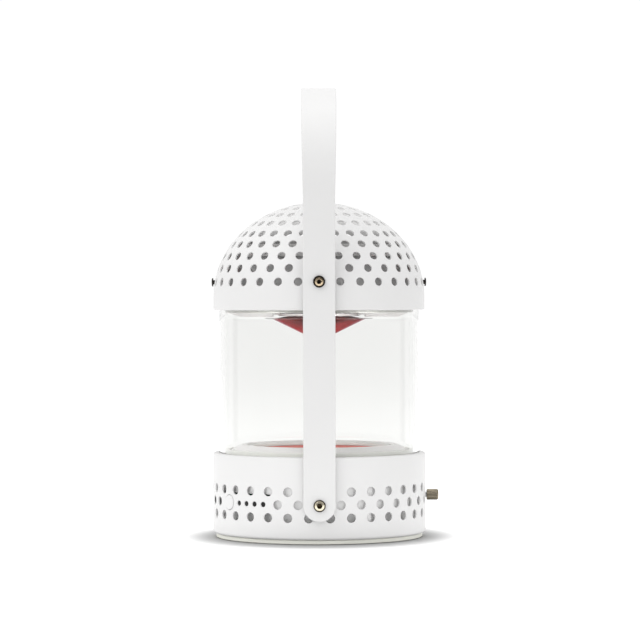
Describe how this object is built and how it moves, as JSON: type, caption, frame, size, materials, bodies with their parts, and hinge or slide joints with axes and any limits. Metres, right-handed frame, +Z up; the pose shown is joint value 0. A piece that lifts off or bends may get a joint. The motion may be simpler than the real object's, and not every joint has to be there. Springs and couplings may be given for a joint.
{
  "type": "portable lantern speaker",
  "caption": "Portable lantern with a perforated domed cap and drum base, a clear glass chimney between them, an upward loudspeaker, a hanging mirror cone and a flat arched carrying strap.",
  "frame": {"origin": "centre of the foot pad's underside, on the table", "axes": "+Z up along the drum's axis, -Y the front with the strap's front leg, +X the side with the control knob"},
  "size_m": [0.1353, 0.1384, 0.2673],
  "materials": {
    "paint": "white fine-texture powder coat",
    "white_plastic": "satin moulded white",
    "silicone": "matt pale grey silicone",
    "clear_silicone": "translucent silicone",
    "glass": "clear polished",
    "dark_screw": "blackened, worn bright at the edges",
    "nickel_screw": "nickel plated",
    "knob_metal": "dark nickel, straight knurl",
    "zinc": "zinc plated",
    "ferrite": "matt ferrite",
    "black_plastic": "satin black",
    "grey_rubber": "matt butyl rubber",
    "red_cone": "matt pressed paper",
    "copper": "enamelled copper winding",
    "board": "solder resist",
    "cell_wrap": "shrink-wrapped can",
    "rose_mirror": "rose tinted mirror",
    "phosphor": "lamp lens over yellow phosphor",
    "spider_cloth": "resin-stiffened woven cloth",
    "clear_plastic": "clear polished plastic",
    "aluminium": "turned aluminium"
  },
  "bodies": {
    "housing": {"foot_pad": "silicone", "bottom_plate": "white_plastic", "bottom_screw_1": "zinc", "bottom_screw_2": "zinc", "bottom_screw_3": "zinc", "base_shell": "paint", "base_frame": "white_plastic", "main_board": "board", "battery_tray": "black_plastic", "battery_cell_front": "cell_wrap", "battery_cell_rear": "cell_wrap", "control_board": "board", "charging_jack": "black_plastic", "power_switch": "black_plastic", "status_light_pipe": "black_plastic", "dimmer_board": "board", "dimmer_pot": "zinc", "deck": "white_plastic", "driver_basket": "black_plastic", "driver_top_plate": "zinc", "driver_magnet": "ferrite", "driver_yoke": "zinc", "surround": "grey_rubber", "centring_spider": "spider_cloth", "speaker_lead": "black_plastic", "trim_ring": "white_plastic", "lamp_post": "aluminium", "lamp_board": "white_plastic", "lamp_lens": "phosphor", "lower_gasket": "clear_silicone", "glass_chimney": "glass", "upper_gasket": "clear_silicone", "top_ring": "white_plastic", "cone_spacer": "white_plastic", "cone_washer": "black_plastic", "cone_bridge": "white_plastic", "cone_skirt": "clear_plastic", "reflector_cone": "rose_mirror", "cone_screw": "zinc", "deflector": "black_plastic", "deflector_band": "white_plastic", "dome": "paint", "strap_handle": "paint", "strap_washer_front": "nickel_screw", "strap_washer_rear": "nickel_screw", "dome_screw_front": "dark_screw", "dome_screw_rear": "dark_screw", "base_screw_front": "nickel_screw", "base_screw_rear": "nickel_screw", "dome_screw_right": "dark_screw", "dome_screw_left": "dark_screw"},
    "knob": {"control_knob": "knob_metal", "control_shaft": "zinc"},
    "button": {"power_button": "paint"},
    "diaphragm": {"diaphragm": "red_cone", "voice_coil": "copper"}
  },
  "joints": [
    {"name": "knob_turn", "type": "hinge", "parent": "housing", "child": "knob", "pos_m": [0.064, 0, 0.0246], "axis": [1, 0, 0], "range_deg": [-150, 150]},
    {"name": "button_press", "type": "slide", "parent": "housing", "child": "button", "axis": [0.8315, 0.5556, 0], "range_m": [0, 0.0006], "stiffness_N_per_m": 400, "springref_m": -0.001},
    {"name": "diaphragm_travel", "type": "slide", "parent": "housing", "child": "diaphragm", "axis": [0, 0, 1], "range_m": [-0.002, 0.002], "stiffness_N_per_m": 2000, "deforming": ["surround", "centring_spider"]}
  ]
}
